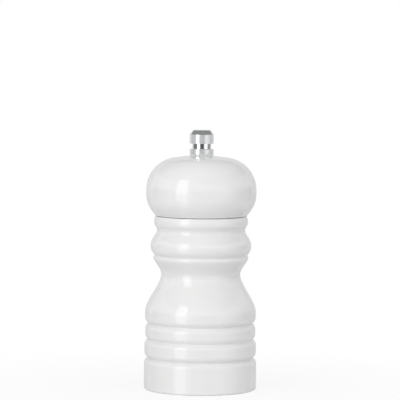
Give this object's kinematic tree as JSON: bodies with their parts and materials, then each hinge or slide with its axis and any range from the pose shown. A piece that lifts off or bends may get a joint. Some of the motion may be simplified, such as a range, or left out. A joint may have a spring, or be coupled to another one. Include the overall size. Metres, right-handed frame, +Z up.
{
  "type": "pepper mill",
  "caption": "Short turned-wood pepper mill in white lacquer: grooved body, domed head that turns on a square spindle, chromed adjusting knob and a steel burr set in the foot.",
  "frame": {"origin": "centre of the foot, on the plane the mill stands on", "axes": "+Z up along the turning axis to the knob; the front that the picture shows faces -Y"},
  "size_m": [0.052, 0.052, 0.12],
  "materials": {
    "lacquered_wood": "white gloss lacquer outside, bare turned beech in the bores and the foot",
    "chrome": "polished chrome plate",
    "spindle_aluminium": "drawn bar, satin",
    "plate_steel": "stamped and zinc plated",
    "screw_steel": "zinc plated",
    "burr_steel": "hardened and oiled, dark grey",
    "spring_steel": "drawn spring wire",
    "nylon": "natural nylon, matt"
  },
  "bodies": {
    "mill_body": {"body": "lacquered_wood", "stator": "burr_steel", "mechanism_plate": "plate_steel", "mechanism_screws": "screw_steel", "bridge": "plate_steel"},
    "bush": {"spindle_bush": "nylon", "spring": "spring_steel"},
    "spindle_and_rotor": {"spindle": "spindle_aluminium", "rotor": "burr_steel", "spring_washer": "plate_steel", "rotor_washer": "plate_steel", "rotor_screw": "screw_steel"},
    "mill_head": {"head": "lacquered_wood", "drive_plate": "plate_steel", "drive_plate_screws": "screw_steel"},
    "knob": {"top_nut": "chrome"}
  },
  "joints": [
    {"name": "head_turn", "type": "hinge", "parent": "mill_body", "child": "bush", "pos_m": [0, 0, 0.0328], "axis": [0, 0, 1], "continuous": true},
    {"name": "grind_adjust", "type": "slide", "parent": "bush", "child": "spindle_and_rotor", "axis": [0, 0, 1], "range_m": [0, 0.0012], "deforming": ["spring"]},
    {"name": "head_lift", "type": "slide", "parent": "bush", "child": "mill_head", "axis": [0, 0, 1], "range_m": [0, 0.05]},
    {"name": "nut_turn", "type": "hinge", "parent": "mill_head", "child": "knob", "pos_m": [0, 0, 0.108], "axis": [0, 0, -1], "range_deg": [0, 540]}
  ],
  "couplings": [
    {"joint": "nut_turn", "follows": "grind_adjust", "rad_per_m": 7854}
  ]
}
